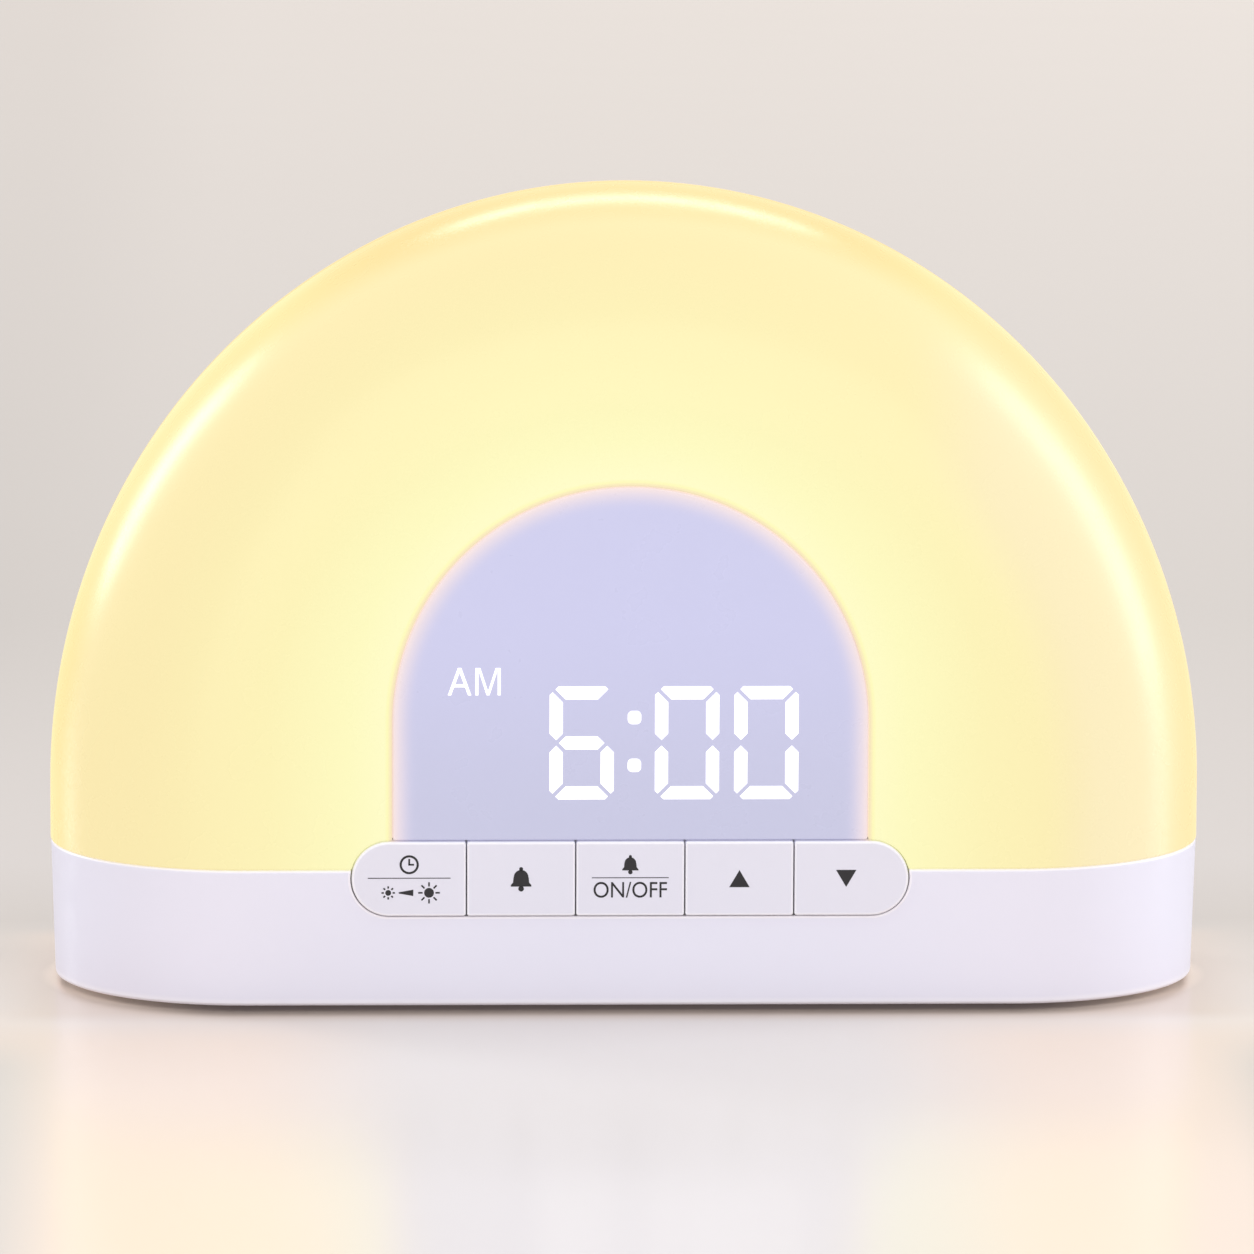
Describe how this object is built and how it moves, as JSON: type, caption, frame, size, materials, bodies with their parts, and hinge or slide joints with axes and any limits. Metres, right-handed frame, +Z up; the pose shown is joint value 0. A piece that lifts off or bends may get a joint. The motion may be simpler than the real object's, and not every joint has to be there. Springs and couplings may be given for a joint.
{
  "type": "sunrise alarm clock",
  "caption": "Arched wake-up light on an oval base, with a lit translucent dome, an arched clock display, push keys, a rear speaker and a backup cell.",
  "frame": {"origin": "on the surface the clock stands on, under the middle of its outline", "axes": "+X to the right of someone facing the clock, +Y towards its back, +Z up"},
  "size_m": [0.2, 0.0708, 0.1393],
  "materials": {
    "lit_diffuser": "translucent, lit from inside, satin",
    "shell_plastic": "white with a faint cool cast, satin",
    "key_plastic": "white with a faint cool cast, satin",
    "foot_rubber": "matt",
    "display_lens": "milky, smooth, lit from inside",
    "white_plastic": "moulded, matt",
    "segment_diffuser": "translucent white, lit",
    "green_board": "fibreglass board with solder mask",
    "white_board": "fibreglass board with white mask",
    "light_chip": "light chip in clear resin",
    "black_plastic": "moulded, matt",
    "switch_steel": "stamped sheet",
    "capacitor_can": "sleeved can",
    "pin_metal": "plated pin",
    "cone_paper": "treated paper cone",
    "ferrite": "sintered magnet in its cup",
    "foam_gasket": "foam ring",
    "cell_steel": "button cell can",
    "contact_metal": "sprung strip",
    "screw_steel": "zinc plated",
    "lead_insulation": "soft sleeve",
    "ribbon_insulation": "flat flexible cable"
  },
  "bodies": {
    "clock": {"dome_diffuser": "lit_diffuser", "rear_housing": "shell_plastic", "base_housing": "shell_plastic", "bottom_cover": "shell_plastic", "foot_pads": "foot_rubber", "display_lens": "display_lens", "display_housing": "white_plastic", "segment_block": "white_plastic", "segment_windows": "segment_diffuser", "display_board": "green_board", "segment_leds": "light_chip", "display_driver": "black_plastic", "reflector": "white_plastic", "light_board": "white_board", "glow_leds": "light_chip", "button_frame": "white_plastic", "switch_bodies": "switch_steel", "button_board": "green_board", "main_board": "green_board", "microcontroller": "black_plastic", "crystal": "switch_steel", "capacitors": "capacitor_can", "voltage_regulator": "black_plastic", "board_connectors": "white_plastic", "power_socket": "black_plastic", "socket_pin": "pin_metal", "speaker_frame": "switch_steel", "speaker_cone": "cone_paper", "speaker_magnet": "ferrite", "speaker_gasket": "foam_gasket", "speaker_grille": "shell_plastic", "backup_cell": "cell_steel", "cell_contacts": "contact_metal", "cover_screws": "screw_steel", "shell_screws": "screw_steel", "rear_screws": "screw_steel", "reflector_screws": "screw_steel", "light_screws": "screw_steel", "board_screws": "screw_steel", "display_screws": "screw_steel", "frame_screws": "screw_steel", "speaker_screws": "screw_steel", "light_leads": "lead_insulation", "speaker_leads": "lead_insulation", "display_ribbon": "ribbon_insulation", "button_ribbon": "ribbon_insulation"},
    "time_button": {"time_key": "key_plastic", "time_plunger": "black_plastic"},
    "alarm_button": {"alarm_key": "key_plastic", "alarm_plunger": "black_plastic"},
    "alarm_switch_button": {"alarm_switch_key": "key_plastic", "alarm_switch_plunger": "black_plastic"},
    "up_button": {"up_key": "key_plastic", "up_plunger": "black_plastic"},
    "down_button": {"down_key": "key_plastic", "down_plunger": "black_plastic"},
    "battery_door": {"battery_door": "shell_plastic"}
  },
  "joints": [
    {"name": "time_press", "type": "slide", "parent": "clock", "child": "time_button", "axis": [0, 1, 0], "range_m": [0, 0.0005], "stiffness_N_per_m": 2000},
    {"name": "alarm_press", "type": "slide", "parent": "clock", "child": "alarm_button", "axis": [0, 1, 0], "range_m": [0, 0.0005], "stiffness_N_per_m": 2000},
    {"name": "alarm_switch_press", "type": "slide", "parent": "clock", "child": "alarm_switch_button", "axis": [0, 1, 0], "range_m": [0, 0.0005], "stiffness_N_per_m": 2000},
    {"name": "up_press", "type": "slide", "parent": "clock", "child": "up_button", "axis": [0, 1, 0], "range_m": [0, 0.0005], "stiffness_N_per_m": 2000},
    {"name": "down_press", "type": "slide", "parent": "clock", "child": "down_button", "axis": [0, 1, 0], "range_m": [0, 0.0005], "stiffness_N_per_m": 2000},
    {"name": "battery_door_turn", "type": "hinge", "parent": "clock", "child": "battery_door", "pos_m": [-0.012, 0.004, 0.001], "axis": [0, 0, 1], "range_deg": [-35, 0]}
  ]
}
